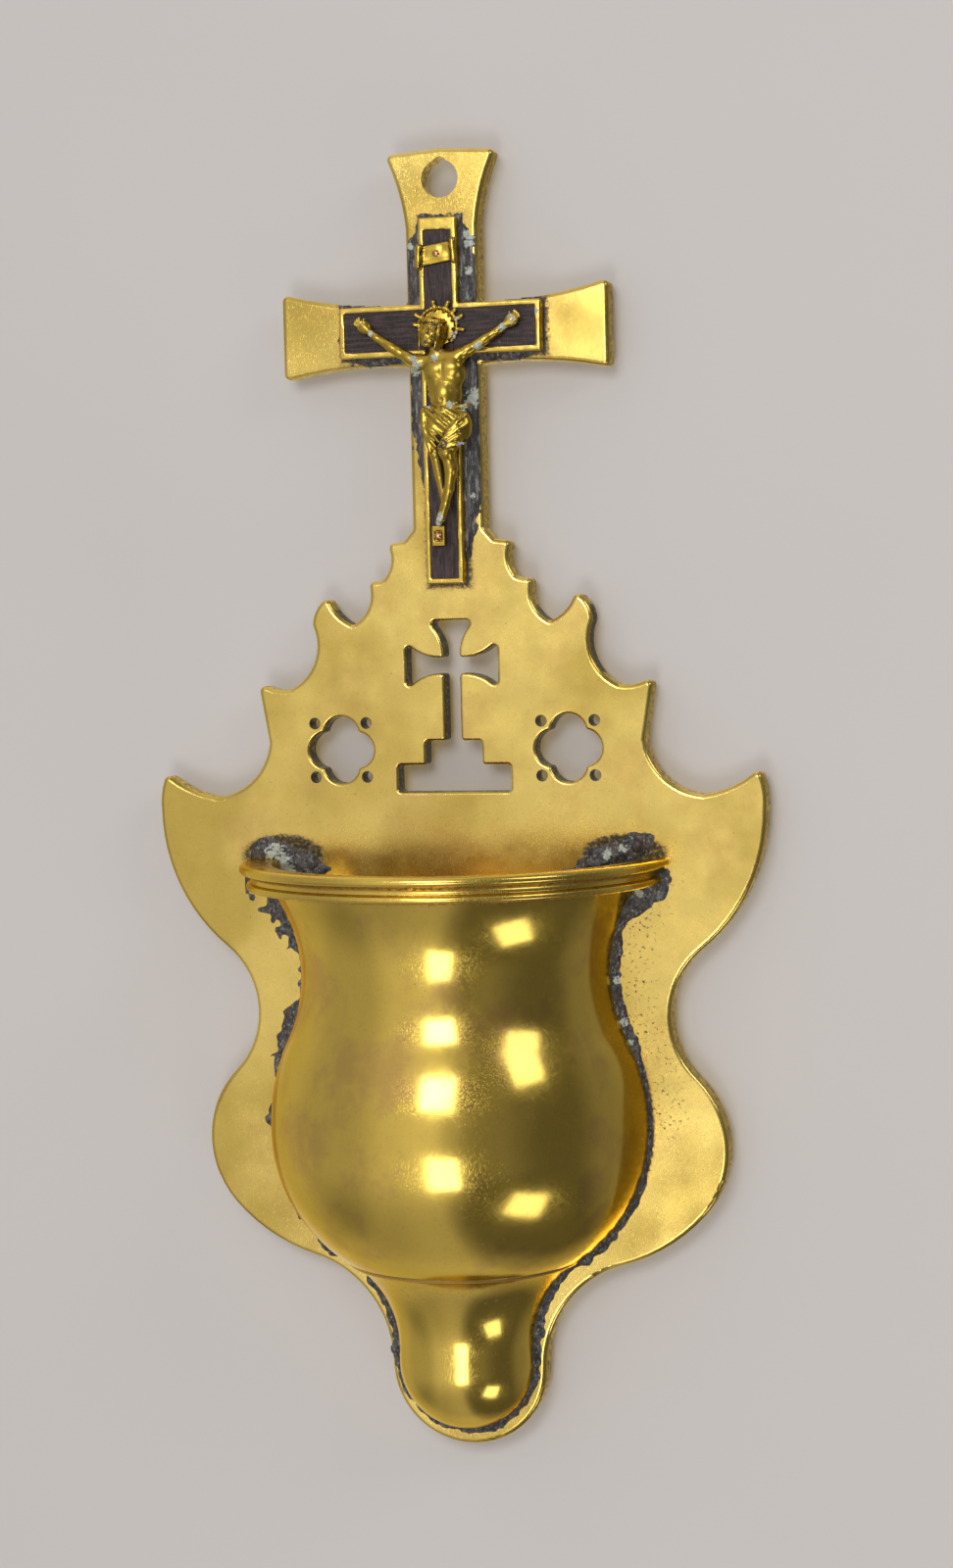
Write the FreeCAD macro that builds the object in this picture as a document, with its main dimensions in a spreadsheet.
import FreeCAD, Part
import math
import os
import Sketcher
from FreeCAD import Placement, Rotation, Vector

# Holy water stoup: a brass wall font.  A cast and pierced backplate carries a
# crucifix above and a half-round holy water bowl with a pendant drop below.
# X runs to the right, Y into the wall and Z up.  The origin is the centre of
# the hanging hole on the back face of the plate, which lies in the plane Y = 0.
# Heights are given as a drop below that centre.  Lengths are in millimetres.

SHEET = "Dimensions"

SIZES = (
    # Backplate
    ("plate_thickness", 4.0, "Backplate thickness"),
    ("plate_edge_round", 0.9, "Softened front edge of the backplate"),
    ("pierced_point_round", 0.7, "Rounding of the pierced design's corners"),
    ("pierced_edge_round", 0.6, "Softened front edge of the pierced openings"),
    ("tip_round", 1.05, "Rounding of the backplate's points"),
    ("nook_round", 0.8, "Rounding of the backplate's inner corners"),
    ("hole_radius", 3.6, "Hanging hole radius"),
    ("hole_notch_radius", 1.5, "Radius of the worn notch above the hanging hole"),
    ("hole_notch_rise", 2.6, "Rise of the worn notch's centre"),
    ("top_rise", 5.7, "Top of the plate above the hanging hole"),
    ("top_half", 11.0, "Half width of the flared top arm"),
    ("top_corner_fall", 0.7, "Fall of the top arm's corners below its crown"),
    ("shaft_half", 7.1, "Half width of the shaft"),
    ("flare_drop", 9.0, "Where the top arm's flare runs into the shaft"),
    ("flare_radius", 40.0, "Hollow of the top arm's sides"),
    ("cross_half", 32.2, "Half span of the plate's cross arms"),
    ("arm_end_half", 8.3, "Half height of the arms' ends"),
    ("arm_root_half", 5.85, "Half height of the arms at the shaft"),
    ("arm_root_sag", 0.75, "How far the arms' roots lie below the middle of their ends"),
    ("arm_hollow", 80.0, "Hollow of the arms' long edges"),
    ("shaft_foot", 66.0, "Drop of the shaft's foot"),
    ("ledge_out", 1.9, "Step out from the shaft's foot to the ledge"),
    ("ledge_fall", 2.2, "Fall from the shaft's foot to the ledge"),
    ("tooth_a_out", 3.5, "Step out from the ledge to the first point"),
    ("tooth_a_fall", 0.4, "Fall from the ledge to the first point"),
    ("bite_a_out", 0.6, "Step out to the first bite"),
    ("bite_a_fall", 6.6, "Fall to the first bite"),
    ("bite_a_radius", 5.6, "Hollow of the first bite"),
    ("tooth_b_out", 3.8, "Step out to the second point"),
    ("tooth_b_rise", 0.3, "Rise to the second point"),
    ("tooth_b_radius", 3.2, "Hollow below the second point"),
    ("bite_b_out", 2.7, "Step out to the second bite"),
    ("bite_b_fall", 9.0, "Fall to the second bite"),
    ("bite_b_radius", 6.3, "Hollow of the second bite"),
    ("curl_out", 4.9, "Step out to the curled point"),
    ("curl_rise", 5.5, "Rise to the curled point"),
    ("curl_radius", 8.0, "Hollow of the curled point's front"),
    ("curl_back_out", 3.4, "Step out over the curled point's back"),
    ("curl_back_fall", 5.4, "Fall over the curled point's back"),
    ("curl_back_radius", 6.3, "Swell of the curled point's back"),
    ("bite_c_out", 4.7, "Step out to the third bite"),
    ("bite_c_fall", 12.3, "Fall to the third bite"),
    ("bite_c_radius", 9.3, "Hollow of the third bite"),
    ("tooth_c_out", 6.8, "Step out to the third point"),
    ("tooth_c_rise", 1.7, "Rise to the third point"),
    ("tooth_c_radius", 8.3, "Hollow below the third point"),
    ("sweep_in", 2.0, "Step back in to the start of the long sweep"),
    ("sweep_fall", 12.1, "Fall to the start of the long sweep"),
    ("saddle_out", 11.1, "Step out to the bottom of the long sweep"),
    ("saddle_fall", 10.5, "Fall to the bottom of the long sweep"),
    ("saddle_radius", 11.9, "Hollow of the long sweep"),
    ("horn_out", 10.5, "Step out to the horn's tip"),
    ("horn_rise", 4.8, "Rise to the horn's tip"),
    ("horn_inner_radius", 20.0, "Hollow of the horn's inner side"),
    ("horn_swell", 1.3, "Swell of the horn beyond its tip"),
    ("horn_fall", 7.3, "Fall from the horn's tip to its widest place"),
    ("horn_outer_radius", 14.0, "Swell of the horn's outer side"),
    ("waist_margin", 11.1, "Plate beside the bowl's neck"),
    ("waist_fall", 8.5, "Drop of the plate's waist below the bowl's neck"),
    ("waist_radius", 16.3, "Radius of the waist's hollow"),
    ("lobe_margin", 15.1, "Plate beside the bowl's belly"),
    ("lobe_fall", 4.2, "Drop of the plate's lobes below the bowl's belly"),
    ("lobe_turn", 42.0, "Angle where the lobe eases into its underside, degrees"),
    ("lobe_under_radius", 34.0, "Radius of the lobe's underside"),
    ("foot_margin", 2.1, "Plate round the pendant's half ball"),
    ("foot_sag", 1.4, "Drop of the plate's rounded foot below the half ball's centre"),
    # Pierced design
    ("pattee_fall", 26.0, "Centre of the pierced cross below the shaft's foot"),
    ("pattee_half", 9.1, "Half span of the pierced cross"),
    ("pattee_rise", 8.6, "Height of the pierced cross above its centre"),
    ("pattee_flare", 4.7, "Half width of the pierced cross at its ends"),
    ("pattee_waist", 1.55, "Half width of the pierced cross at its middle"),
    ("pattee_hollow", 8.5, "Hollow of the pierced cross's arms"),
    ("stem_fall", 14.4, "Top of the pierced steps below the pierced cross's centre"),
    ("step_height", 4.6, "Height of the upper pierced step"),
    ("step_half", 5.6, "Half width of the upper pierced step"),
    ("base_height", 5.2, "Height of the lower pierced step"),
    ("base_half", 11.2, "Half width of the lower pierced step"),
    ("quatrefoil_offset", 22.6, "Offset of the quatrefoils from the middle"),
    ("quatrefoil_fall", 42.0, "Centres of the quatrefoils below the shaft's foot"),
    ("foil_offset", 3.0, "Offset of each foil from its quatrefoil's middle"),
    ("foil_radius", 3.5, "Radius of each foil"),
    ("eyelet_radius", 1.15, "Radius of the eyelets round each quatrefoil"),
    ("eyelet_offset", 5.2, "Offset of the eyelets across and up from the quatrefoil's middle"),
    # Bowl
    ("bowl_wall", 1.4, "Wall of the spun bowl"),
    ("bowl_top_drop", 129.1, "Drop of the bowl's lip"),
    ("lip_radius", 36.75, "Outside radius of the bowl's lip"),
    ("neck_radius", 30.2, "Outside radius of the bowl's neck"),
    ("lip_height", 3.4, "Height of the bowl's upright lip"),
    ("neck_fall", 21.4, "Neck of the bowl below its lip's top"),
    ("belly_radius", 36.8, "Outside radius of the bowl's belly"),
    ("belly_fall", 29.5, "Belly of the bowl below its neck"),
    ("underside_spread", 6.5, "Radius of the rounded bottom over the belly's radius"),
    ("underside_rise", 11.0, "Centre of the rounded bottom above the belly"),
    # Rim moulding
    ("rim_reach", 4.75, "How far the rim moulding stands out from the lip"),
    ("rim_crown", 0.3, "Rise of the rim moulding above the bowl's lip"),
    ("rim_bead", 0.95, "Radius of the rim's upper bead"),
    ("rim_channel", 1.5, "Height of the channel between the beads"),
    ("rim_hollow", 1.2, "Radius of the channel between the beads"),
    ("rim_step", 1.3, "How far the lower bead stands in from the upper"),
    ("rim_lower_bead", 0.8, "Radius of the rim's lower bead"),
    # Pendant
    ("pendant_wall", 1.2, "Wall of the pendant"),
    ("pendant_radius", 13.3, "Radius of the pendant's half ball"),
    ("collar_flare", 9.1, "Radius of the collar's seat over the half ball's radius"),
    ("collar_height", 16.95, "Height of the collar"),
    ("collar_taper", 1.5, "Wall of the collar at its seat, cut on the slant, over its wall"),
    ("ball_fall", 3.0, "Centre of the half ball below the collar's foot"),
    # Solder
    ("solder_swell", 2.0, "Radius of a solder fillet's swollen face over its leg"),
    ("bowl_solder_leg", 2.0, "Leg of the solder fillet beside the bowl"),
    ("pendant_solder_leg", 1.3, "Leg of the solder fillet round the pendant"),
    ("pendant_solder_start", 2.6, "Start of the solder round the pendant below its seat"),
    ("seam_solder_leg", 0.6, "Leg of the solder fillet over the pendant's collar"),
    ("seam_solder_radius", 1.5, "Swell of the solder over the pendant's collar"),
    ("corner_solder_leg", 3.2, "Leg of the solder fillet inside the rim's ends"),
    ("solder_clearance", 0.2, "Gap between the solder beside the bowl and the rim"),
    ("corner_solder_taper", 0.45, "Top of the solder inside the rim's ends over its leg"),
    ("corner_solder_length", 6.0, "Height of the solder inside the rim's ends"),
    ("bed_thickness", 0.6, "Thickness of the solder bed under the crucifix"),
    ("bed_margin", 1.8, "How far the solder bed spreads past the crucifix's sides"),
    ("bed_edge_margin", 0.6, "How far the solder bed spreads above and below the bar"),
    ("bed_foot_inset", 5.4, "How far the solder bed ends above the crucifix's foot"),
    # Crucifix
    ("crucifix_top", 7.5, "Drop of the crucifix's top"),
    ("crucifix_height", 69.0, "Height of the crucifix"),
    ("crucifix_span", 39.6, "Span of the crucifix's bar"),
    ("crossing_fall", 21.0, "Middle of the crucifix's bar below its top"),
    ("upright_width", 7.4, "Width of the crucifix's upright"),
    ("bar_width", 9.6, "Width of the crucifix's bar"),
    ("tray_depth", 2.2, "Thickness of the crucifix's tray"),
    ("tray_floor", 1.1, "Floor of the crucifix's tray"),
    ("tray_rim", 0.95, "Width of the tray's raised rim"),
    ("tray_head", 2.4, "Width of the tray's rim at its top end"),
    ("inlay_below_rim", 0.2, "How far the ebony lies below the tray's rim"),
    ("inlay_clearance", 0.05, "Clearance round the ebony strips"),
    # Fittings of the crucifix
    ("rivet_head_radius", 0.8, "Radius of the rivets' domed heads"),
    ("rivet_head_rise", 0.5, "Rise of the rivets' domed heads"),
    ("rivet_shank_radius", 0.4, "Radius of the rivets' shanks"),
    ("rivet_clearance", 0.05, "Clearance round the rivets' shanks"),
    ("drill_length", 8.8, "How far the rivets' holes are drilled from the plate's front"),
    ("titulus_fall", 6.9, "Middle of the scroll below the crucifix's top"),
    ("titulus_half", 3.1, "Half width of the flat of the scroll"),
    ("titulus_height", 3.6, "Height of the scroll"),
    ("titulus_sheet", 0.5, "Thickness of the scroll"),
    ("titulus_curl", 0.85, "Outside radius of the scroll's curled ends"),
    ("titulus_tilt", 8.0, "Tilt of the scroll, degrees"),
    ("nimbus_radius", 3.0, "Radius of the nimbus's disc"),
    ("nimbus_fall", 0.1, "Middle of the nimbus below the middle of the bar"),
    ("nimbus_sheet", 0.5, "Thickness of the nimbus"),
    ("ray_reach", 5.4, "Reach of the nimbus's rays from its middle"),
    ("ray_half", 0.45, "Half width of the nimbus's rays"),
    ("ray_spread", 27.0, "Angle between the two rays of a pair, degrees"),
    ("bracket_width", 2.6, "Width of the foot bracket"),
    ("bracket_height", 3.9, "Height of the foot bracket"),
    ("bracket_depth", 1.6, "Depth of the foot bracket at its top"),
    ("bracket_foot_depth", 0.8, "Depth of the foot bracket at its foot"),
    ("bracket_round", 0.2, "Rounding of the foot bracket's front edges"),
    ("bracket_shift", 0.8, "Shift of the foot bracket to the left"),
    ("bracket_rise", 9.1, "Middle of the foot bracket above the crucifix's foot"),
    # Corpus
    ("link_relief", 0.02, "How far a limb's cones lie inside its balls, as a share"),
    ("corpus_clearance", 0.05, "Clearance between the figure and the crucifix"),
    ("hand_half", 14.7, "Half reach of the rivets in the hands"),
    ("hand_rise", 1.3, "Rivets in the hands above the middle of the bar"),
    ("hand_depth", 0.75, "Half thickness of the hands"),
    ("palm_inset", 0.6, "Middle of the palm in from its rivet"),
    ("palm_fall", 0.3, "Middle of the palm below its rivet"),
    ("finger_reach", 0.8, "Fingertips out from the rivet"),
    ("finger_rise", 0.5, "Fingertips above the rivet"),
    ("finger_radius", 0.6, "Half thickness of the fingers at their tips"),
    ("thumb_reach", 0.6, "Thumb's tip out from the palm"),
    ("thumb_rise", 1.1, "Thumb's tip above the palm"),
    ("thumb_radius", 0.4, "Half thickness of the thumb at its tip"),
    ("wrist_radius", 0.68, "Half thickness of the wrists"),
    ("wrist_share", 0.7, "Place of the wrist from elbow to palm, as a share"),
    ("elbow_half", 7.6, "Half reach of the elbows"),
    ("elbow_fall", 3.9, "Elbows below the middle of the bar"),
    ("elbow_back", 0.9, "Elbows behind the shoulders"),
    ("elbow_radius", 0.95, "Half thickness of the arms at the elbows"),
    ("shoulder_lean", 0.5, "Rise of the right shoulder, and fall of the left"),
    ("shoulder_fall", 5.8, "Shoulders below the middle of the bar"),
    ("shoulder_inset", 0.4, "Middle of the shoulder in from the chest's side"),
    ("shoulder_radius", 1.35, "Half thickness of the shoulders"),
    ("shoulder_shift", 0.4, "Shift of the shoulders to the right"),
    ("chest_shift", 1.2, "Shift of the chest to the right"),
    ("chest_half", 4.0, "Half width of the chest"),
    ("chest_depth", 1.9, "Half depth of the chest"),
    ("chest_fall", 1.9, "Middle of the chest below the shoulders"),
    ("waist_share", 0.6, "Place of the figure's waist from chest to hips, as a share"),
    ("chest_waist_half", 3.1, "Half width of the figure's waist"),
    ("chest_waist_depth", 1.5, "Half depth of the figure's waist"),
    ("neck_half", 1.3, "Half width of the neck"),
    ("head_fall", 0.5, "Middle of the head below the middle of the bar"),
    ("head_half", 2.35, "Half width of the head"),
    ("head_lean", 0.5, "Lean of the head towards its right shoulder"),
    ("chin_fall", 2.1, "Chin below the middle of the head"),
    ("chin_forward", 0.4, "Chin in front of the middle of the head"),
    ("chin_radius", 1.55, "Half width of the bearded chin"),
    ("crown_sheet", 0.3, "How far the crown stands out from the head"),
    ("crown_height", 0.9, "Height of the crown"),
    ("crown_rise", 0.4, "Foot of the crown above the middle of the head"),
    ("crown_lean", 0.1, "Lean of the crown across, for each unit of its rise"),
    ("hip_shift", 2.0, "Shift of the hips to the right"),
    ("hip_fall", 16.9, "Hips below the middle of the bar"),
    ("hip_half", 4.1, "Half width of the hips in their cloth"),
    ("cloth_half_depth", 2.2, "Half depth of the cloth at the hips"),
    ("cloth_rise", 1.9, "Top of the cloth's swell above the hips"),
    ("cloth_fall", 3.0, "Foot of the cloth's swell below the hips"),
    ("cloth_edge_depth", 1.9, "Half depth of the cloth at its top and its foot"),
    ("cloth_foot_inset", 0.4, "Foot of the cloth's swell in from its middle"),
    ("knot_rise", 0.5, "Knot of the cloth above the hips"),
    ("knot_radius", 0.9, "Half thickness of the knot"),
    ("knot_hang", 1.8, "Length of the knot's hanging end"),
    ("knot_end_radius", 0.6, "Half thickness of the knot's hanging end"),
    ("thigh_half", 1.7, "Half distance of the thighs' tops"),
    ("thigh_radius", 1.75, "Half thickness of the thighs"),
    ("knee_shift", 2.6, "Shift of the knees to the right"),
    ("knee_share", 0.3875, "Drop of the knees as a share of that from the hips to the ankles"),
    ("knee_half", 1.1, "Half distance of the knees"),
    ("knee_forward", 0.6, "Knees in front of the hips"),
    ("knee_radius", 1.35, "Half thickness of the knees"),
    ("calf_shift", 2.3, "Shift of the calves to the right"),
    ("calf_fall", 3.2, "Calves below the knees"),
    ("calf_half", 0.7, "Half distance of the calves"),
    ("calf_radius", 1.2, "Half thickness of the calves"),
    ("ankle_radius", 0.8, "Half thickness of the ankles"),
    ("ankle_shift", 1.0, "Ankles to the right of the toes"),
    ("leg_overlap", 0.4, "How far the crossing leg lies in front of the other"),
    ("foot_half", 0.45, "Half distance of the feet"),
    ("foot_length", 3.3, "Length of the feet"),
    ("toe_radius", 0.7, "Half thickness of the feet at their tips"),
    ("toe_clearance", 0.8, "Middle of the feet in front of the bracket's corner"),
)


class Sizes:
    """The sheet's numbers, read back by name for geometry that code works out."""

    def __init__(self, sheet):
        self.sheet = sheet

    def __getattr__(self, name):
        return float(getattr(self.sheet, name))

    def crossing(self):
        """Height of the middle of the crucifix's bar."""
        return -self.crucifix_top - self.crossing_fall

    def bracket(self):
        """Height of the middle of the foot bracket."""
        return -self.crucifix_top - self.crucifix_height + self.bracket_rise

    def pattee(self):
        """Height of the middle of the pierced cross."""
        return -self.shaft_foot - self.pattee_fall

    def neck(self):
        """Height of the bowl's neck."""
        return -self.bowl_top_drop - self.neck_fall

    def belly(self):
        """Height of the bowl's belly."""
        return self.neck() - self.belly_fall

    def neck_hollow(self):
        """Radius of the hollow that rises from the neck into the lip."""
        return flare(self.lip_radius - self.neck_radius, self.neck_fall - self.lip_height)

    def underside_centre(self):
        """Height of the centre of the bowl's rounded bottom."""
        return self.belly() + self.underside_rise

    def underside_radius(self):
        """Outside radius of the bowl's rounded bottom."""
        return self.belly_radius + self.underside_spread

    def rim_radius(self):
        """Outside radius of the rim moulding."""
        return self.lip_radius + self.rim_reach

    def collar_radius(self):
        """Radius of the collar's seat under the bowl."""
        return self.pendant_radius + self.collar_flare

    def collar_foot(self):
        """Height where the collar runs into the half ball."""
        return seat_height(self.collar_radius()) - self.collar_height

    def ball(self):
        """Height of the half ball's centre."""
        return self.collar_foot() - self.ball_fall


def fill_sheet(doc):
    """Write every driving dimension into the sheet under its alias."""
    sheet = doc.addObject("Spreadsheet::Sheet", SHEET)
    for row, (name, value, note) in enumerate(SIZES, start=1):
        sheet.set(f"A{row}", note)
        sheet.set(f"B{row}", str(value))
        sheet.setAlias(f"B{row}", name)
    doc.recompute()
    return sheet


def bind(item, prop, formula):
    """Bind a property to the sheet; words in the formula are its aliases."""
    words = []
    for word in formula.split():
        is_name = word[0].isalpha()
        words.append(f"{SHEET}.{word}" if is_name else word)
    item.setExpression(prop, " ".join(words))


def new_body(label):
    body = doc.addObject("PartDesign::Body", label)
    body.Label = label
    body.Placement = Placement()
    return body


def new_sketch(body, name, role="XZ_Plane", lift=None):
    """A sketch on one of the body's own planes, lifted off it by a formula."""
    sketch = body.newObject("Sketcher::SketchObject", name)
    planes = [item for item in body.Origin.OriginFeatures if item.Role == role]
    sketch.AttachmentSupport = [(planes[0], "")]
    sketch.MapMode = "FlatFace"
    if lift:
        bind(sketch, "AttachmentOffset.Base.z", lift)
    return sketch


def pad(body, sketch, name, length):
    feature = body.newObject("PartDesign::Pad", name)
    feature.Profile = sketch
    bind(feature, "Length", length)
    return feature


def pocket(body, sketch, name, length=None):
    """Cut a sketch into the plate behind it, right through unless told how deep."""
    feature = body.newObject("PartDesign::Pocket", name)
    feature.Profile = sketch
    if length:
        bind(feature, "Length", length)
    else:
        feature.Type = "ThroughAll"
        feature.Midplane = True
    return feature


def half_turn(body, sketch, name, angle=180.0):
    """Turn a profile about its upright axis, from the right round the front."""
    feature = body.newObject("PartDesign::Revolution", name)
    feature.Profile = sketch
    feature.ReferenceAxis = (sketch, ["V_Axis"])
    feature.Angle = angle
    feature.Reversed = True
    return feature


def round_edges(body, feature, name, radius, test):
    """Fillet the edges of a feature that pass a test."""
    doc.recompute()
    names = []
    for number, edge in enumerate(feature.Shape.Edges, start=1):
        if test(edge):
            names.append(f"Edge{number}")
    fillet = body.newObject("PartDesign::Fillet", name)
    fillet.Base = (feature, names)
    bind(fillet, "Radius", radius)
    doc.recompute()
    return fillet


class Stroke:
    """A line, or an arc that turns right (radius over 0) or left (under 0)."""

    def __init__(self, start, end, radius=0.0):
        self.start = start
        self.end = end
        self.radius = radius
        chord = end.sub(start)
        self.along = Vector(chord).normalize()
        self.left = Vector(-self.along.y, self.along.x, 0)
        if radius:
            reach = math.sqrt(radius * radius - chord.Length ** 2 / 4.0)
            side = math.copysign(reach, -radius)
            self.centre = (start + end) * 0.5 + self.left * side

    def heading(self, place):
        """Direction of travel at a place on the stroke."""
        if not self.radius:
            return self.along
        out = place.sub(self.centre).normalize()
        side = math.copysign(1.0, self.radius)
        return Vector(out.y * side, -out.x * side, 0)

    def nearest(self, place):
        """The place on the whole line or circle that is nearest to a point."""
        if not self.radius:
            return self.start + self.along * place.sub(self.start).dot(self.along)
        return self.centre + place.sub(self.centre).normalize() * abs(self.radius)

    def edge(self):
        if not self.radius:
            return Part.LineSegment(self.start, self.end)
        middle = self.nearest((self.start + self.end) * 0.5)
        return Part.Arc(self.start, middle, self.end)


def round_corner(before, after, radius):
    """Round the corner between two strokes, which are shortened to meet the arc."""
    corner = before.end
    turn = before.heading(corner).cross(after.heading(corner)).z
    side = math.copysign(radius, turn)
    centre = corner
    for step in range(12):
        misses = []
        for stroke in (before, after):
            touch = stroke.nearest(centre)
            heading = stroke.heading(touch)
            normal = Vector(-heading.y, heading.x, 0)
            misses.append((normal, side - centre.sub(touch).dot(normal)))
        (one, short), (two, other) = misses
        spread = one.x * two.y - one.y * two.x
        across = short * two.y - other * one.y
        along = other * one.x - short * two.x
        centre = centre + Vector(across, along, 0) / spread
    before.end = before.nearest(centre)
    after.start = after.nearest(centre)
    return Stroke(before.end, after.start, -side)


def line(across, up, corner=0.0):
    """A straight step to a place, whose corner is rounded if a radius is given."""
    return (across, up, 0.0, corner)


def bend(across, up, radius, corner=0.0):
    """A round step: a positive radius turns right and a negative one left."""
    return (across, up, radius, corner)


def pen(steps):
    """Edges along a list of steps, with each step's own corner rounded."""
    strokes = []
    here = None
    corner = 0.0
    for across, up, radius, next_corner in steps:
        there = Vector(across, up, 0)
        if here is not None:
            strokes.append(Stroke(here, there, radius))
        if corner and len(strokes) > 1:
            strokes.insert(-1, round_corner(strokes[-2], strokes[-1], corner))
        here = there
        corner = next_corner
    return [stroke.edge() for stroke in strokes]


def mirrored(edges):
    """The same edges on the other side of the upright axis."""
    copies = [edge.copy() for edge in edges]
    for copy in copies:
        copy.mirror(Vector(), Vector(0, 1, 0))
    return copies


def draw(sketch, edges):
    """Put edges into a sketch and fix them there."""
    for edge in edges:
        index = sketch.addGeometry(edge, False)
        sketch.addConstraint(Sketcher.Constraint("Block", index))


def draw_circle(sketch, across, up, radius):
    """A circle whose centre and radius follow formulas."""
    place = Vector(1.0, 1.0, 0)
    index = sketch.addGeometry(Part.Circle(place, Vector(0, 0, 1), 1.0), False)
    wanted = (("DistanceX", across), ("DistanceY", up))
    for kind, formula in wanted:
        rule = Sketcher.Constraint(kind, -1, 1, index, 3, 1.0)
        bind(sketch, f"Constraints[{sketch.addConstraint(rule)}]", formula)
    rule = Sketcher.Constraint("Radius", index, 1.0)
    bind(sketch, f"Constraints[{sketch.addConstraint(rule)}]", radius)


def flare(across, along):
    """Radius of an arc that ends upright after going so far across and along."""
    return (across ** 2 + along ** 2) / (2.0 * across)


def point_on(centre, toward, radius):
    """The point of a circle that faces another point."""
    step = Vector(toward[0] - centre[0], toward[1] - centre[1], 0).normalize()
    return (centre[0] + step.x * radius, centre[1] + step.y * radius)


def in_front_plane(edge, level):
    """Whether an edge lies wholly in the plane Y = level."""
    box = edge.BoundBox
    return abs(box.YMin - level) < 1e-4 and abs(box.YMax - level) < 1e-4


# Backplate ------------------------------------------------------------------

def crown_steps():
    """Right side of the plate from its crown down the cross to the shaft's foot."""
    tip = d.tip_round
    nook = d.nook_round
    ends = d.crossing()
    roots = ends - d.arm_root_sag
    return [
        line(0.0, d.top_rise),
        line(d.top_half, d.top_rise - d.top_corner_fall, tip),
        bend(d.shaft_half, -d.flare_drop, -d.flare_radius, nook),
        line(d.shaft_half, roots + d.arm_root_half, nook),
        bend(d.cross_half, ends + d.arm_end_half, -d.arm_hollow, tip),
        line(d.cross_half, ends - d.arm_end_half, tip),
        bend(d.shaft_half, roots - d.arm_root_half, -d.arm_hollow, nook),
        line(d.shaft_half, -d.shaft_foot, nook),
    ]


def cusp_steps():
    """Right side of the plate from the shaft's foot over the cusps to the horn."""
    tip = d.tip_round
    nook = d.nook_round
    moves = (
        line(d.ledge_out, -d.ledge_fall, nook),
        line(d.tooth_a_out, -d.tooth_a_fall, tip),
        bend(d.bite_a_out, -d.bite_a_fall, -d.bite_a_radius, nook),
        bend(d.tooth_b_out, d.tooth_b_rise, -d.tooth_b_radius, tip),
        bend(d.bite_b_out, -d.bite_b_fall, -d.bite_b_radius, nook),
        bend(d.curl_out, d.curl_rise, -d.curl_radius, tip),
        bend(d.curl_back_out, -d.curl_back_fall, d.curl_back_radius, nook),
        bend(d.bite_c_out, -d.bite_c_fall, -d.bite_c_radius, nook),
        bend(d.tooth_c_out, d.tooth_c_rise, -d.tooth_c_radius, tip),
        line(-d.sweep_in, -d.sweep_fall, nook),
        bend(d.saddle_out, -d.saddle_fall, -d.saddle_radius, nook),
        bend(d.horn_out, d.horn_rise, -d.horn_inner_radius, tip),
        bend(d.horn_swell, -d.horn_fall, d.horn_outer_radius, nook),
    )
    across = d.shaft_half
    up = -d.shaft_foot
    steps = []
    for out, rise, radius, corner in moves:
        across += out
        up += rise
        steps.append((across, up, radius, corner))
    return steps


def flank_steps(horn_half, horn):
    """Right side of the plate from the horn to the foot, all in tangent arcs."""
    waist_half = d.neck_radius + d.waist_margin
    waist = d.neck() - d.waist_fall
    lobe_half = d.belly_radius + d.lobe_margin
    lobes = d.belly() - d.lobe_fall
    foot_half = d.pendant_radius + d.foot_margin
    foot = d.ball() - d.foot_sag
    hollow = d.waist_radius
    swell = flare(horn_half - waist_half, horn - waist) - hollow
    lobe = flare(lobe_half - waist_half, lobes - waist) - hollow
    shoulder_centre = (horn_half - swell, horn)
    waist_centre = (waist_half + hollow, waist)
    lobe_centre = (lobe_half - lobe, lobes)
    turn = math.radians(d.lobe_turn)
    under = d.lobe_under_radius
    ease = under - lobe
    under_centre = (lobe_centre[0] - ease * math.cos(turn), lobes + ease * math.sin(turn))
    across = foot_half - under_centre[0]
    along = under_centre[1] - foot
    hip = (across ** 2 + along ** 2 - under ** 2) / (2.0 * (under - across))
    hip_centre = (foot_half + hip, foot)
    lobe_end = (lobe_centre[0] + lobe * math.cos(turn), lobes - lobe * math.sin(turn))
    return [
        bend(*point_on(shoulder_centre, waist_centre, swell), swell),
        bend(*point_on(waist_centre, lobe_centre, hollow), -hollow),
        bend(*lobe_end, lobe),
        bend(*point_on(under_centre, hip_centre, under), under),
        bend(foot_half, foot, -hip),
        bend(0.0, foot - foot_half, foot_half),
    ]


def outline_steps():
    """Right side of the plate from its crown to its foot."""
    cusps = cusp_steps()
    horn_half, horn = cusps[-1][:2]
    return crown_steps() + cusps + flank_steps(horn_half, horn)


def pattee_steps():
    """Right side of the pierced cross with its stem and steps."""
    middle = d.pattee()
    waist = d.pattee_waist
    flared = d.pattee_flare
    hollow = d.pattee_hollow
    steps = middle - d.stem_fall
    step_foot = steps - d.step_height
    base_foot = step_foot - d.base_height
    tip = d.pierced_point_round
    return [
        line(0.0, middle + d.pattee_rise),
        line(flared, middle + d.pattee_rise, tip),
        bend(waist, middle + waist, -hollow, tip),
        bend(d.pattee_half, middle + flared, -hollow, tip),
        line(d.pattee_half, middle - flared, tip),
        bend(waist, middle - waist, -hollow, tip),
        line(waist, steps, tip),
        line(d.step_half, steps, tip),
        line(d.step_half, step_foot, tip),
        line(d.base_half, step_foot, tip),
        line(d.base_half, base_foot, tip),
        line(0.0, base_foot),
    ]


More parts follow.
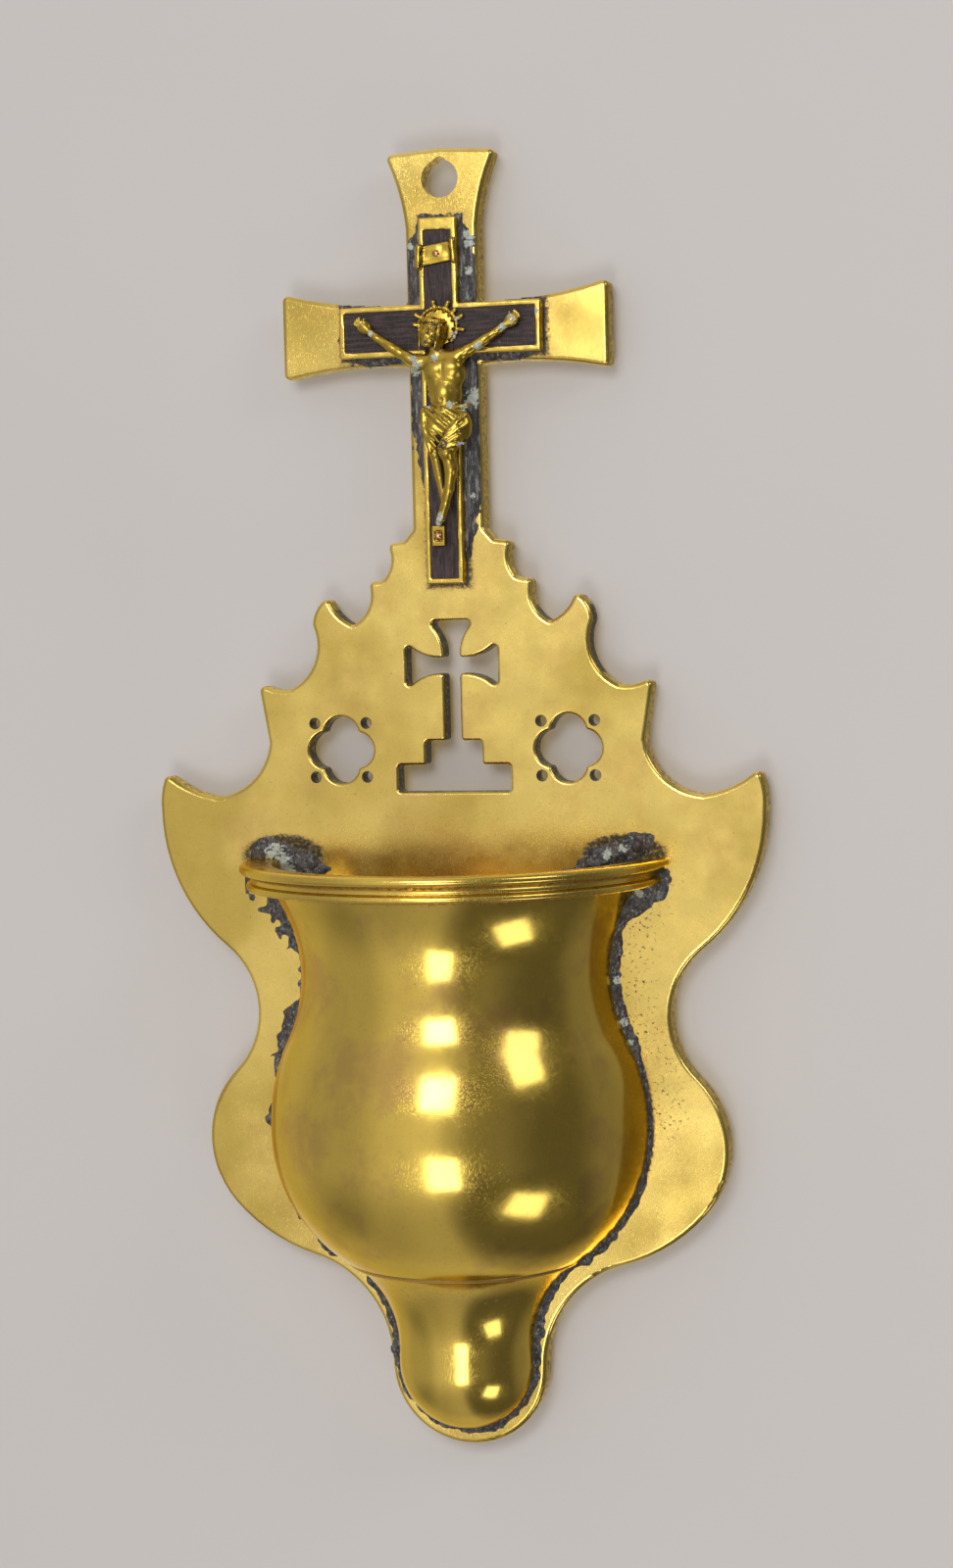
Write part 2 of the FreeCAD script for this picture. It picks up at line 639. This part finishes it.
def quatrefoil_steps(side):
    """Four foils that meet in rounded points, on one side of the cross."""
    middle = side * d.quatrefoil_offset
    height = -d.shaft_foot - d.quatrefoil_fall
    offset = d.foil_offset
    foil = -d.foil_radius
    meet = (offset + math.sqrt(2.0 * foil ** 2 - offset ** 2)) / 2.0
    tip = d.pierced_point_round
    return [
        line(middle + offset - foil, height),
        bend(middle + meet, height + meet, foil, tip),
        bend(middle - meet, height + meet, foil, tip),
        bend(middle - meet, height - meet, foil, tip),
        bend(middle + meet, height - meet, foil, tip),
        bend(middle + offset - foil, height, foil),
    ]


def in_pierced_design(edge):
    """Whether a front edge belongs to the pierced cross or a quatrefoil."""
    if not in_front_plane(edge, -d.plate_thickness):
        return False
    across = abs(edge.BoundBox.Center.x)
    height = edge.BoundBox.Center.z
    slack = d.pierced_point_round
    top = d.pattee() + d.pattee_rise + slack
    foot = d.pattee() - d.stem_fall - d.step_height - d.base_height - slack
    in_cross = across < d.base_half + slack and foot < height < top
    foils = d.foil_offset + d.foil_radius
    from_foils = math.hypot(across - d.quatrefoil_offset, height + d.shaft_foot + d.quatrefoil_fall)
    return in_cross or from_foils < foils


def build_backplate():
    """The plate: outline, hanging hole and pierced design, with soft edges."""
    body = new_body("backplate")
    outline = new_sketch(body, "plate_outline")
    half = pen(outline_steps())
    draw(outline, half + mirrored(half))
    plate = pad(body, outline, "plate", "plate_thickness")
    level = -d.plate_thickness
    round_edges(body, plate, "soft_edge", "plate_edge_round",
                lambda edge: in_front_plane(edge, level))
    hole = new_sketch(body, "hanging_hole_sketch")
    draw_circle(hole, "0", "0", "hole_radius")
    pocket(body, hole, "hanging_hole")
    notch = new_sketch(body, "worn_notch_sketch")
    draw_circle(notch, "0", "hole_notch_rise", "hole_notch_radius")
    pocket(body, notch, "worn_notch")
    pierced = new_sketch(body, "pierced_sketch")
    cross = pen(pattee_steps())
    draw(pierced, cross + mirrored(cross))
    for side in (-1.0, 1.0):
        draw(pierced, pen(quatrefoil_steps(side)))
    cut = pocket(body, pierced, "pierced_design")
    round_edges(body, cut, "soft_pierced_edge", "pierced_edge_round", in_pierced_design)
    eyelets = new_sketch(body, "eyelet_sketch")
    for side in ("-1", "1"):
        for across in ("-", "+"):
            for up in ("-", "+"):
                draw_circle(eyelets,
                            f"{side} * quatrefoil_offset {across} eyelet_offset",
                            f"0 - shaft_foot - quatrefoil_fall {up} eyelet_offset", "eyelet_radius")
    pocket(body, eyelets, "eyelets")
    return body


# Bowl, rim and pendant ------------------------------------------------------

def seat_height(radius):
    """Height of the bowl's rounded bottom at a distance from its axis."""
    return d.underside_centre() - math.sqrt(d.underside_radius() ** 2 - radius ** 2)


def belly_ease():
    """Distance from the axis to the centre of the arc below the belly."""
    rise = d.underside_rise
    spare = d.underside_spread
    return (rise ** 2 - spare ** 2) / (2.0 * spare)


def lip_foot(inset=0.0):
    """Height where the straight lip meets the hollow of the neck."""
    hollow = d.neck_hollow() + inset
    across = hollow - (d.lip_radius - d.neck_radius)
    return d.neck() + math.sqrt(hollow ** 2 - across ** 2)


def bowl_side(inset=0.0):
    """Steps down the bowl's side, from its lip to the middle of its bottom."""
    hollow = d.neck_hollow()
    neck = (d.neck_radius + hollow, d.neck())
    swell = flare(d.belly_radius - d.neck_radius, d.belly_fall) - hollow
    belly = (d.belly_radius - swell, d.belly())
    ease = (belly_ease(), d.belly())
    bottom = (0.0, d.underside_centre())
    under = d.underside_radius() - inset
    return [
        line(d.lip_radius - inset, -d.bowl_top_drop),
        line(d.lip_radius - inset, lip_foot(inset)),
        bend(*point_on(neck, belly, hollow + inset), -hollow - inset),
        bend(d.belly_radius - inset, d.belly(), swell - inset),
        bend(*point_on(bottom, ease, under), d.belly_radius - inset - ease[0]),
        bend(0.0, bottom[1] - under, under),
    ]


def build_bowl():
    """The spun bowl, cut in half along its axis, with an even wall."""
    body = new_body("bowl")
    profile = new_sketch(body, "bowl_profile", lift="plate_thickness")
    outside = bowl_side()
    inside = bowl_side(d.bowl_wall)
    draw(profile, pen(outside) + pen(inside))
    draw(profile, pen([outside[0], inside[0]]))
    draw(profile, pen([line(*outside[-1][:2]), line(*inside[-1][:2])]))
    half_turn(body, profile, "bowl_turn")
    return body


def rim_foot():
    """Height of the underside of the rim moulding."""
    beads = 2.0 * (d.rim_bead + d.rim_lower_bead)
    return -d.bowl_top_drop + d.rim_crown - beads - d.rim_channel


def build_rim():
    """The rim moulding: two beads with a channel between, round the bowl's lip."""
    body = new_body("rim_moulding")
    profile = new_sketch(body, "rim_profile", lift="plate_thickness")
    top = -d.bowl_top_drop + d.rim_crown
    bead = d.rim_bead
    lower = d.rim_lower_bead
    outer = d.rim_radius()
    inner = outer - d.rim_step
    channel_top = top - 2.0 * bead
    channel_foot = channel_top - d.rim_channel
    foot = rim_foot()
    draw(profile, pen([
        line(d.lip_radius, -d.bowl_top_drop),
        line(outer - bead, top),
        bend(outer, top - bead, bead),
        bend(outer - bead, channel_top, bead),
        bend(inner - lower, channel_foot, -d.rim_hollow),
        bend(inner, channel_foot - lower, lower),
        bend(inner - lower, foot, lower),
        line(d.lip_radius, foot),
        line(d.lip_radius, -d.bowl_top_drop),
    ]))
    half_turn(body, profile, "rim_turn")
    return body


def pendant_side(inset=0.0):
    """Steps down the pendant's side, from its seat to its lowest point."""
    seat = d.collar_radius() - d.collar_taper * inset
    ball = d.pendant_radius - inset
    seat_top = seat_height(seat)
    hollow = flare(seat - ball, seat_top - d.collar_foot())
    return [
        line(seat, seat_top),
        bend(ball, d.collar_foot(), -hollow),
        line(ball, d.ball()),
        bend(0.0, d.ball() - ball, ball),
    ]


def build_pendant():
    """The pendant: a flared collar that runs into a half ball, in thin sheet."""
    body = new_body("pendant")
    profile = new_sketch(body, "pendant_profile", lift="plate_thickness")
    outside = pendant_side()
    inside = pendant_side(d.pendant_wall)
    draw(profile, pen(outside) + pen(inside))
    draw(profile, pen([line(*inside[0][:2]), bend(*outside[0][:2], -d.underside_radius())]))
    draw(profile, pen([line(*outside[-1][:2]), line(*inside[-1][:2])]))
    half_turn(body, profile, "pendant_turn")
    return body


# Solder ---------------------------------------------------------------------

def build_seam(label, strokes, leg):
    """A solder fillet in the corner between the plate and a standing wall."""
    path = doc.addObject("Sketcher::SketchObject", f"{label}_path")
    path.Placement = Placement(Vector(0, -d.plate_thickness, 0), Rotation(Vector(1, 0, 0), 90))
    draw(path, [stroke.edge() for stroke in strokes])
    first = strokes[0]
    heading = first.heading(first.start)
    outward = Vector(-heading.y, 0, heading.x)
    front = Vector(0, -1, 0)
    place = Vector(first.start.x, -d.plate_thickness, first.start.y)
    section = doc.addObject("Sketcher::SketchObject", f"{label}_section")
    section.Placement = Placement(place, Rotation(outward, front, outward.cross(front)))
    draw(section, pen([line(0, 0), line(leg, 0), bend(0, leg, d.solder_swell * leg), line(0, 0)]))
    doc.recompute()
    seam = doc.addObject("Part::Sweep", label)
    seam.Sections = [section]
    seam.Spine = (path, [f"Edge{number + 1}" for number in range(len(strokes))])
    seam.Solid = True
    seam.Frenet = False
    seam.Label = label
    return seam


def strokes_of(steps):
    """Strokes along steps that have no rounded corners."""
    places = [Vector(step[0], step[1], 0) for step in steps]
    bends = [step[2] for step in steps[1:]]
    return [Stroke(*ends, radius) for *ends, radius in zip(places, places[1:], bends)]


def build_bowl_solder():
    """The solder beside the bowl, on the right and mirrored on the left."""
    side = bowl_side()
    top = rim_foot() - d.solder_clearance
    hollow = d.neck_hollow()
    ease = belly_ease()
    below = d.belly_radius - ease
    end = d.collar_radius() + d.bowl_solder_leg
    end_height = d.belly() - math.sqrt(below ** 2 - (end - ease) ** 2)
    if top > side[1][1]:
        start = [line(d.lip_radius, top), side[1]]
    else:
        across = d.neck_radius + hollow - math.sqrt(hollow ** 2 - (top - d.neck()) ** 2)
        start = [line(across, top)]
    steps = start + [side[2], side[3], bend(end, end_height, below)]
    right = build_seam("bowl_solder_right", strokes_of(steps), d.bowl_solder_leg)
    left = doc.addObject("Part::Mirroring", "bowl_solder_left")
    left.Source = right
    left.Base = Vector()
    left.Normal = Vector(1, 0, 0)
    left.Label = "bowl_solder_left"
    return [right, left]


def build_pendant_solder():
    """The solder round the pendant, in one run down, under and up again."""
    steps = pendant_side()
    hollow = -steps[1][2]
    start = steps[0][1] - d.pendant_solder_start
    centre = (d.pendant_radius + hollow, d.collar_foot())
    across = centre[0] - math.sqrt(hollow ** 2 - (start - centre[1]) ** 2)
    down = [line(across, start)] + steps[1:]
    up = [
        bend(-d.pendant_radius, d.ball(), d.pendant_radius),
        line(-d.pendant_radius, d.collar_foot()),
        bend(-across, start, -hollow),
    ]
    return build_seam("pendant_solder", strokes_of(down + up), d.pendant_solder_leg)


def build_collar_solder():
    """The solder bead that follows the joint of the bowl's underside and the collar."""
    body = new_body("collar_solder")
    profile = new_sketch(body, "collar_solder_profile", lift="plate_thickness")
    leg = d.seam_solder_leg
    corner = pendant_side()[0]
    hollow = -pendant_side()[1][2]
    centre = (d.pendant_radius + hollow, d.collar_foot())
    low = corner[1] - leg
    low_across = centre[0] - math.sqrt(hollow ** 2 - (low - centre[1]) ** 2)
    ease = belly_ease()
    out = corner[0] + leg
    below = d.belly_radius - ease
    out_height = d.belly() - math.sqrt(below ** 2 - (out - ease) ** 2)
    draw(profile, pen([
        line(corner[0], corner[1]),
        line(out, out_height),
        bend(low_across, low, d.seam_solder_radius),
        line(corner[0], corner[1]),
    ]))
    half_turn(body, profile, "collar_solder_turn")
    return body


def build_corner_solder(label, side, quarter):
    """A lump of solder between the plate and the bowl's lip, inside the rim's end."""
    lump = doc.addObject("Part::Cone", label)
    lump.Label = label
    lump.Angle = 90.0
    bind(lump, "Radius1", "corner_solder_leg")
    bind(lump, "Radius2", "corner_solder_leg * corner_solder_taper")
    bind(lump, "Height", "corner_solder_length")
    foot = Vector(0, 0, lip_foot(d.bowl_wall))
    lump.Placement = Placement(foot, Rotation(Vector(0, 0, 1), quarter))
    bind(lump, "Placement.Base.x", f"{side} * ( lip_radius - bowl_wall - solder_clearance )")
    bind(lump, "Placement.Base.y", "0 - plate_thickness")
    return lump


def cross_steps(half_span, half_bar, half_upright, top, foot):
    """Right side of a plain Latin cross about the crossing's height."""
    middle = d.crossing()
    return [
        line(0.0, top),
        line(half_upright, top),
        line(half_upright, middle + half_bar),
        line(half_span, middle + half_bar),
        line(half_span, middle - half_bar),
        line(half_upright, middle - half_bar),
        line(half_upright, foot),
        line(0.0, foot),
    ]


def build_solder_bed():
    """The thin bed of solder that holds the crucifix on the plate."""
    body = new_body("crucifix_solder")
    outline = new_sketch(body, "solder_bed_outline", lift="plate_thickness")
    margin = d.bed_margin
    right = pen(cross_steps(
        d.crucifix_span / 2.0 + margin,
        d.bar_width / 2.0 + d.bed_edge_margin,
        d.upright_width / 2.0 + margin,
        -d.crucifix_top - d.bed_edge_margin,
        -d.crucifix_top - d.crucifix_height + d.bed_foot_inset,
    ))
    draw(outline, right + mirrored(right))
    pad(body, outline, "solder_bed", "bed_thickness")
    return body


def build_tray():
    """The crucifix's brass tray, with a raised rim round the ebony strips."""
    body = new_body("crucifix_tray")
    outline = new_sketch(body, "tray_outline", lift="plate_thickness + bed_thickness")
    top = -d.crucifix_top
    foot = top - d.crucifix_height
    span = d.crucifix_span / 2.0
    bar = d.bar_width / 2.0
    upright = d.upright_width / 2.0
    rim = d.tray_rim
    right = pen(cross_steps(span, bar, upright, top, foot))
    draw(outline, right + mirrored(right))
    pad(body, outline, "tray", "tray_depth")
    hollow = new_sketch(body, "tray_hollow", lift="plate_thickness + bed_thickness + tray_depth")
    right = pen(cross_steps(span - rim, bar - rim, upright - rim, top - d.tray_head, foot + rim))
    draw(hollow, right + mirrored(right))
    pocket(body, hollow, "tray_recess", "tray_depth - tray_floor")
    return body


def new_box(name, across, deep, up, left, front, foot):
    """A block whose size and place follow formulas."""
    box = doc.addObject("Part::Box", name)
    formulas = (
        ("Length", across), ("Width", deep), ("Height", up),
        ("Placement.Base.x", left), ("Placement.Base.y", front), ("Placement.Base.z", foot),
    )
    for prop, formula in formulas:
        bind(box, prop, formula)
    return box


def new_shank_hole(name, across, up):
    """A straight hole for a rivet's shank, through whatever lies at a place."""
    hole = doc.addObject("Part::Cylinder", name)
    bind(hole, "Radius", "rivet_shank_radius + rivet_clearance")
    bind(hole, "Height", "drill_length")
    hole.Placement = Placement(Vector(), Rotation(Vector(1, 0, 0), 90))
    bind(hole, "Placement.Base.x", across)
    bind(hole, "Placement.Base.y", "0 - plate_thickness")
    bind(hole, "Placement.Base.z", up)
    return hole


def drilled(label, block, holes):
    """A block with its rivet holes cut away."""
    tool = holes[0]
    if len(holes) > 1:
        tool = doc.addObject("Part::MultiFuse", f"{label}_holes")
        tool.Shapes = holes
    piece = doc.addObject("Part::Cut", label)
    piece.Base = block
    piece.Tool = tool
    piece.Label = label
    return piece


def build_inlays():
    """Three ebony strips that lie in the tray, below its rim."""
    deep = "tray_depth - tray_floor - inlay_below_rim"
    front = "0 - plate_thickness - bed_thickness - tray_depth + inlay_below_rim"
    crossing = "0 - crucifix_top - crossing_fall"
    wide = "upright_width - 2 * tray_rim - 2 * inlay_clearance"
    tall = "crucifix_height - tray_head - tray_rim - 2 * inlay_clearance"
    upright = new_box(
        "ebony_upright_block", wide, deep, tall,
        "0 - upright_width / 2 + tray_rim + inlay_clearance", front,
        "0 - crucifix_top - crucifix_height + tray_rim + inlay_clearance")
    pieces = [drilled("ebony_upright", upright, [
        new_shank_hole("titulus_rivet_hole", "0", "0 - crucifix_top - titulus_fall"),
        new_shank_hole("foot_rivet_hole", "0 - bracket_shift",
                       "bracket_rise - crucifix_top - crucifix_height"),
    ])]
    length = "crucifix_span / 2 - upright_width / 2 - inlay_clearance"
    high = "bar_width - 2 * tray_rim - 2 * inlay_clearance"
    foot = f"{crossing} - bar_width / 2 + tray_rim + inlay_clearance"
    for side, name in ((-1, "left"), (1, "right")):
        start = "upright_width / 2 - tray_rim"
        if side < 0:
            start = "0 - crucifix_span / 2 + tray_rim + inlay_clearance"
        arm = new_box(f"ebony_arm_{name}_block", length, deep, high, start, front, foot)
        hole = new_shank_hole(
            f"hand_rivet_hole_{name}", f"{side} * hand_half", f"{crossing} + hand_rise")
        pieces.append(drilled(f"ebony_arm_{name}", arm, [hole]))
    return pieces


def build_rivet(label, across, surface, up):
    """A rivet with a domed head; its shank reaches the floor of the tray."""
    body = new_body(label)
    profile = new_sketch(body, f"{label}_profile", role="XY_Plane")
    head = d.rivet_head_radius
    rise = d.rivet_head_rise
    shank = d.rivet_shank_radius
    floor = d.plate_thickness + d.bed_thickness + d.tray_floor
    dome = (head ** 2 + rise ** 2) / (2.0 * rise)
    draw(profile, pen([
        line(0.0, -rise),
        bend(head, 0.0, -dome),
        line(shank, 0.0),
        line(shank, surface - floor),
        line(0.0, surface - floor),
        line(0.0, -rise),
    ]))
    half_turn(body, profile, f"{label}_turn", angle=360.0)
    body.Placement = Placement(Vector(across, -surface, up), Rotation())
    return body


def build_titulus():
    """A bare scroll across the upright, its two ends curled forward."""
    body = new_body("titulus")
    profile = new_sketch(body, "titulus_profile", role="XY_Plane")
    half = d.titulus_half
    sheet_thickness = d.titulus_sheet
    curl = d.titulus_curl
    inner = curl - sheet_thickness
    right = pen([
        line(0.0, 0.0),
        line(half, 0.0),
        bend(half + curl, -curl, curl),
        bend(half, -2.0 * curl, curl),
        line(half, -2.0 * curl + sheet_thickness),
        bend(half + inner, -curl, -inner),
        bend(half, -sheet_thickness, -inner),
        line(0.0, -sheet_thickness),
    ])
    draw(profile, right + mirrored(right))
    band = pad(body, profile, "titulus_band", "titulus_height")
    band.Midplane = True
    hole = new_sketch(body, "titulus_hole_sketch")
    draw_circle(hole, "0", "0", "rivet_shank_radius + rivet_clearance")
    pocket(body, hole, "titulus_hole")
    turn = Rotation(Vector(0, -1, 0), d.titulus_tilt)
    body.Placement = Placement(Vector(0, -rim_level(), -d.crucifix_top - d.titulus_fall), turn)
    return body


def rim_level():
    """Depth of the front of the tray's rim in front of the wall."""
    return d.plate_thickness + d.bed_thickness + d.tray_depth


def ray_steps(angle):
    """Outline of one ray of the nimbus, with a rounded end."""
    half = d.ray_half
    start = d.nimbus_radius - half
    corners = ((start, -half), (d.ray_reach - half, -half), (d.ray_reach, 0.0),
               (d.ray_reach - half, half), (start, half), (start, -half))
    turned = []
    for along, aside in corners:
        across = along * math.cos(angle) - aside * math.sin(angle)
        turned.append((across, along * math.sin(angle) + aside * math.cos(angle)))
    first, second, tip, fourth, fifth, last = turned
    return [line(*first), line(*second), bend(*tip, -half), bend(*fourth, -half),
            line(*fifth), line(*last)]


def build_nimbus():
    """A nimbus behind the head: a disc with a pair of rays up and to each side."""
    body = new_body("nimbus")
    disc_outline = new_sketch(body, "nimbus_disc_outline")
    draw_circle(disc_outline, "0", "0", "nimbus_radius")
    pad(body, disc_outline, "nimbus_disc", "nimbus_sheet")
    rays_outline = new_sketch(body, "ray_pair_outline")
    half_spread = math.radians(d.ray_spread) / 2.0
    for angle in (-half_spread, half_spread):
        draw(rays_outline, pen(ray_steps(angle)))
    rays = pad(body, rays_outline, "ray_pair", "nimbus_sheet")
    around = body.newObject("PartDesign::PolarPattern", "ray_pairs")
    around.Originals = [rays]
    around.Axis = (rays_outline, ["N_Axis"])
    around.Angle = 180.0
    around.Occurrences = 3
    body.Tip = around
    body.Placement = Placement(Vector(0, -rim_level(), d.crossing() - d.nimbus_fall), Rotation())
    return body


def build_bracket():
    """A small wedge under the feet, riveted to the upright."""
    body = new_body("foot_bracket")
    profile = new_sketch(body, "bracket_profile", role="YZ_Plane")
    half = d.bracket_height / 2.0
    draw(profile, pen([
        line(0.0, half),
        line(0.0, -half),
        line(-d.bracket_foot_depth, -half, d.bracket_round),
        line(-d.bracket_depth, half, d.bracket_round),
        line(0.0, half),
    ]))
    wedge = pad(body, profile, "bracket_wedge", "bracket_width")
    wedge.Midplane = True
    hole = new_sketch(body, "bracket_hole_sketch")
    draw_circle(hole, "0", "0", "rivet_shank_radius + rivet_clearance")
    pocket(body, hole, "bracket_hole")
    level = rim_level() - d.inlay_below_rim
    body.Placement = Placement(Vector(-d.bracket_shift, -level, d.bracket()), Rotation())
    return body


# Corpus ---------------------------------------------------------------------

def link(start, start_radius, end, end_radius):
    """The cone that runs from one ball to another, a hair inside where it would touch them."""
    axis = end.sub(start)
    lean = (start_radius - end_radius) / axis.Length
    spread = math.sqrt(1.0 - lean ** 2)
    length = axis.Length - (start_radius - end_radius) * lean
    step = Vector(axis).normalize()
    foot = start + step * (start_radius * lean)
    slim = spread * (1.0 - d.link_relief)
    if math.isclose(start_radius, end_radius):
        return Part.makeCylinder(start_radius * slim, length, start, step)
    return Part.makeCone(start_radius * slim, end_radius * slim, length, foot, step)


def limb(*joints):
    """A limb from joint to joint; each joint is a middle and a radius."""
    parts = [Part.makeSphere(radius, middle) for middle, radius in joints]
    for (start, start_radius), (end, end_radius) in zip(joints, joints[1:]):
        parts.append(link(start, start_radius, end, end_radius))
    return parts


def build_trunk(level, hip_level):
    """The chest down to the hips, with the knotted cloth round the hips."""
    depth = d.chest_depth
    waist_depth = d.chest_waist_depth
    edge = d.cloth_edge_depth
    hips = Vector(d.hip_shift, -hip_level, d.crossing() - d.hip_fall)
    chest = Vector(d.chest_shift, -level, d.crossing() - d.shoulder_fall - d.chest_fall)
    waist = chest + (hips - chest) * d.waist_share
    parts = []
    for side in (-1.0, 1.0):
        rib = Vector(side * (d.chest_half - depth), 0, 0)
        flank = Vector(side * (d.chest_waist_half - waist_depth), 0, 0)
        hip = Vector(side * (d.hip_half - d.cloth_half_depth), 0, 0)
        foot = hip - Vector(side * d.cloth_foot_inset, 0, d.cloth_fall)
        parts += limb((chest + rib, depth), (waist + flank, waist_depth), (hips + hip, waist_depth))
        parts += limb(
            (hips + hip + Vector(0, 0, d.cloth_rise), edge),
            (hips + hip, d.cloth_half_depth),
            (hips + foot, edge))
    knot = hips + Vector(d.hip_half, 0, d.knot_rise)
    end = knot - Vector(0, 0, d.knot_hang)
    return parts + limb((knot, d.knot_radius), (end, d.knot_end_radius))


def build_arm(side, level, hand_level):
    """An arm from the shoulder to the nailed hand."""
    lift = d.shoulder_lean * side
    middle = d.shoulder_shift
    bar = d.crossing()
    shoulder_reach = d.chest_half - d.shoulder_inset
    shoulder = Vector(middle + side * shoulder_reach, -level, bar - d.shoulder_fall + lift)
    elbow = Vector(middle + side * d.elbow_half, -level + d.elbow_back, bar - d.elbow_fall + lift)
    rivet = Vector(side * d.hand_half, -hand_level, bar + d.hand_rise)
    palm = rivet - Vector(side * d.palm_inset, 0, d.palm_fall)
    tips = rivet + Vector(side * d.finger_reach, 0, d.finger_rise)
    thumb_tip = palm + Vector(side * d.thumb_reach, 0, d.thumb_rise)
    wrist = elbow + (palm - elbow) * d.wrist_share
    arm = limb(
        (shoulder, d.shoulder_radius),
        (elbow, d.elbow_radius),
        (wrist, d.wrist_radius),
        (palm, d.hand_depth),
        (tips, d.finger_radius))
    return arm + limb((palm, d.finger_radius), (thumb_tip, d.thumb_radius))


def build_leg(side, hip_level, toe_level):
    """A leg from the hip to the toes; the left one in the view crosses in front."""
    front = d.leg_overlap * 0.5 * (1.0 - side)
    toe_height = d.bracket() + d.bracket_height / 2.0 + d.toe_radius + d.corpus_clearance
    toe = Vector(-d.bracket_shift - side * d.foot_half, -toe_level - front, toe_height)
    ankle = toe + Vector(d.ankle_shift, 0, d.foot_length)
    hips = d.crossing() - d.hip_fall
    knees = hips - (hips - ankle.z) * d.knee_share
    forward = hip_level + d.knee_forward
    hip = Vector(d.hip_shift + side * d.thigh_half, -hip_level, hips)
    knee = Vector(d.knee_shift + side * d.knee_half, -forward - front, knees)
    calf = Vector(d.calf_shift + side * d.calf_half, -hip_level - front, knees - d.calf_fall)
    return limb(
        (hip, d.thigh_radius),
        (knee, d.knee_radius),
        (calf, d.calf_radius),
        (ankle, d.ankle_radius),
        (toe, d.toe_radius))


def build_head(level, head_level):
    """The bowed head on its neck, with a plain crown round it."""
    head = Vector(-d.head_lean, -head_level, d.crossing() - d.head_fall)
    chin = head + Vector(0, -d.chin_forward, -d.chin_fall)
    neck = Vector(d.shoulder_shift, -level, d.crossing() - d.shoulder_fall)
    tilt = Vector(d.crown_lean, 0, 1.0)
    crown_radius = d.head_half + d.crown_sheet
    crown = Part.makeCylinder(crown_radius, d.crown_height, head + tilt * d.crown_rise, tilt)
    skull = limb((head, d.head_half), (chin, d.chin_radius))
    return skull + limb((neck, d.neck_half), (head, d.neck_half)) + [crown]


def build_corpus():
    """The figure: trunk, cloth, arms, crossed legs, and a bowed and crowned head."""
    inlay = rim_level() - d.inlay_below_rim
    back = rim_level() + d.corpus_clearance
    level = back + d.chest_depth
    hip_level = back + d.cloth_half_depth
    head_level = back + d.nimbus_sheet + d.head_half + d.crown_sheet
    hand_level = inlay + d.corpus_clearance + d.hand_depth
    toe_level = inlay + d.bracket_depth + d.toe_clearance
    parts = build_trunk(level, hip_level) + build_head(level, head_level)
    for side in (-1.0, 1.0):
        parts += build_arm(side, level, hand_level)
        parts += build_leg(side, hip_level, toe_level)
    figure = parts[0].multiFuse(parts[1:])
    shank = d.rivet_shank_radius + d.rivet_clearance
    front = Vector(0, -1, 0)
    for side in (-1.0, 1.0):
        place = Vector(side * d.hand_half, -d.plate_thickness, d.crossing() + d.hand_rise)
        figure = figure.cut(Part.makeCylinder(shank, d.drill_length, place, front))
    feature = doc.addObject("Part::Feature", "corpus")
    feature.Shape = figure
    feature.Label = "corpus"
    feature.Placement = Placement()
    return feature


def build_rivets():
    """Rivets through the scroll, both hands and the foot bracket."""
    inlay = rim_level() - d.inlay_below_rim
    hand_front = inlay + 2.0 * d.hand_depth + d.corpus_clearance
    slope = (d.bracket_depth - d.bracket_foot_depth) / d.bracket_height
    bracket_middle = (d.bracket_depth + d.bracket_foot_depth) / 2.0
    bracket_front = inlay + bracket_middle + slope * d.rivet_head_radius
    scroll_front = rim_level() + d.titulus_sheet
    scroll = -d.crucifix_top - d.titulus_fall
    hands = d.crossing() + d.hand_rise
    return [
        build_rivet("titulus_rivet", 0.0, scroll_front, scroll),
        build_rivet("hand_rivet_left", -d.hand_half, hand_front, hands),
        build_rivet("hand_rivet_right", d.hand_half, hand_front, hands),
        build_rivet("foot_rivet", -d.bracket_shift, bracket_front, d.bracket()),
    ]


def failed(item):
    """Whether an object of the document could not be worked out."""
    return "Invalid" in item.State or "Error" in item.State


def export(nodes):
    """Check every object and every node's shape, then write the nodes."""
    doc.recompute()
    broken = [item.Name for item in doc.Objects if failed(item)]
    for node in nodes:
        if node.Shape.isNull() or not node.Shape.isValid():
            broken.append(node.Label)
    if broken:
        raise RuntimeError(f"not worked out: {broken}")
    os.makedirs("parts", exist_ok=True)
    for node in nodes:
        node.Shape.exportStep(f"parts/{node.Label}.step")
        print(node.Label, len(node.Shape.Solids), round(node.Shape.Volume, 1))


doc = FreeCAD.newDocument("HolyWaterStoup")
sheet = fill_sheet(doc)
d = Sizes(sheet)

nodes = [
    build_backplate(),
    build_bowl(),
    build_rim(),
    build_pendant(),
    *build_bowl_solder(),
    build_pendant_solder(),
    build_collar_solder(),
    build_corner_solder("corner_solder_right", 1, 180.0),
    build_corner_solder("corner_solder_left", -1, 270.0),
    build_solder_bed(),
    build_tray(),
    *build_inlays(),
    build_titulus(),
    build_nimbus(),
    build_bracket(),
    build_corpus(),
    *build_rivets(),
]
export(nodes)
